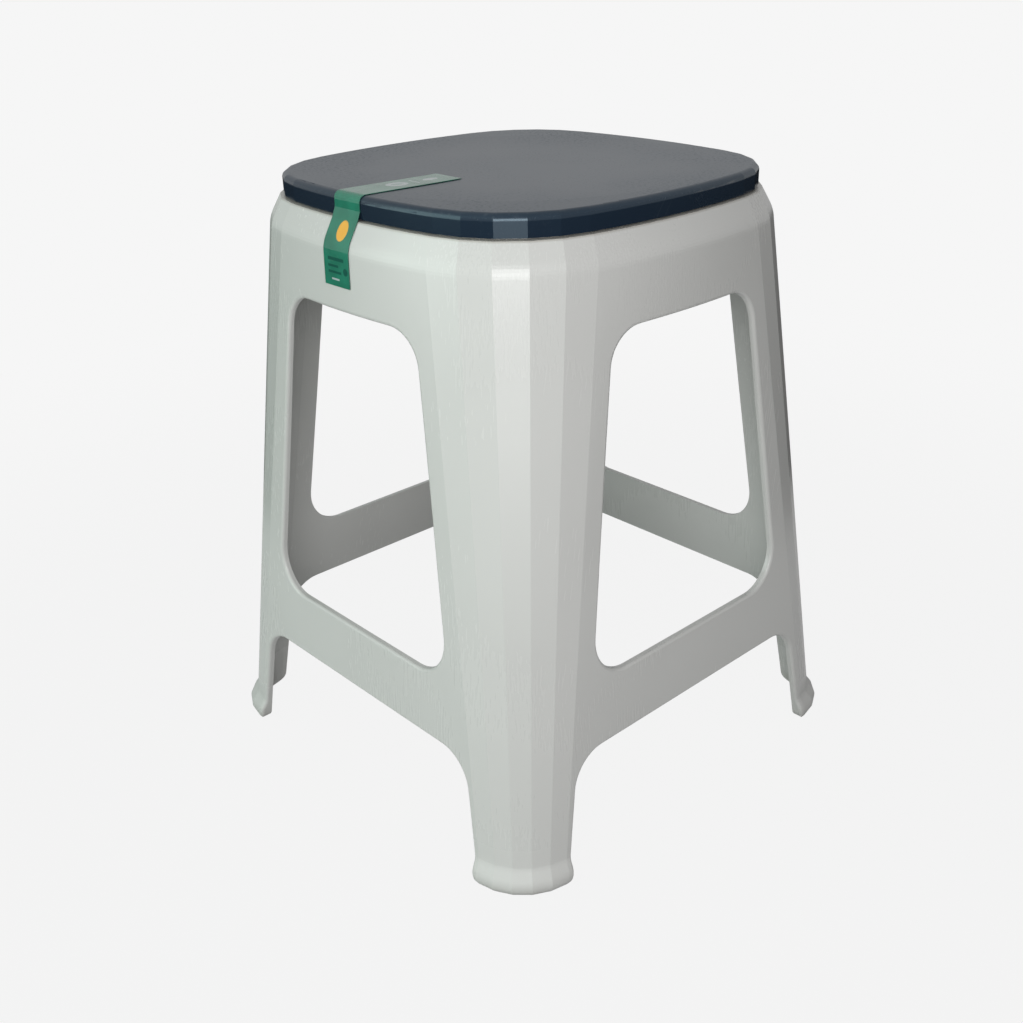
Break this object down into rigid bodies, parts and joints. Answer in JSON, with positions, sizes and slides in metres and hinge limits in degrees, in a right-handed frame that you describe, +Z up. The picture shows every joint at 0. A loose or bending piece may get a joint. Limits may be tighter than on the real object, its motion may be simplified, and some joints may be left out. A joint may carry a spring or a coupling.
{
  "type": "stacking stool",
  "caption": "Square moulded stacking stool with splayed open legs, stretchers, a bowed facetted seat cover and a film strip over its front edge.",
  "frame": {"origin": "centre of the floor footprint, at floor level", "axes": "+Z up, -Y towards the face that carries the film strip"},
  "size_m": [0.371, 0.371, 0.4506],
  "materials": {
    "body_plastic": "semi-gloss moulded polypropylene, light warm grey",
    "cover_plastic": "semi-gloss moulded polypropylene, navy",
    "strip_film": "translucent green adhesive film"
  },
  "bodies": {
    "stool": {"stool_body": "body_plastic"},
    "cover": {"seat_cover": "cover_plastic", "label_strip": "strip_film"}
  },
  "joints": [
    {"name": "cover_lift", "type": "slide", "parent": "stool", "child": "cover", "axis": [0, 0, 1], "range_m": [0, 0.03]}
  ]
}
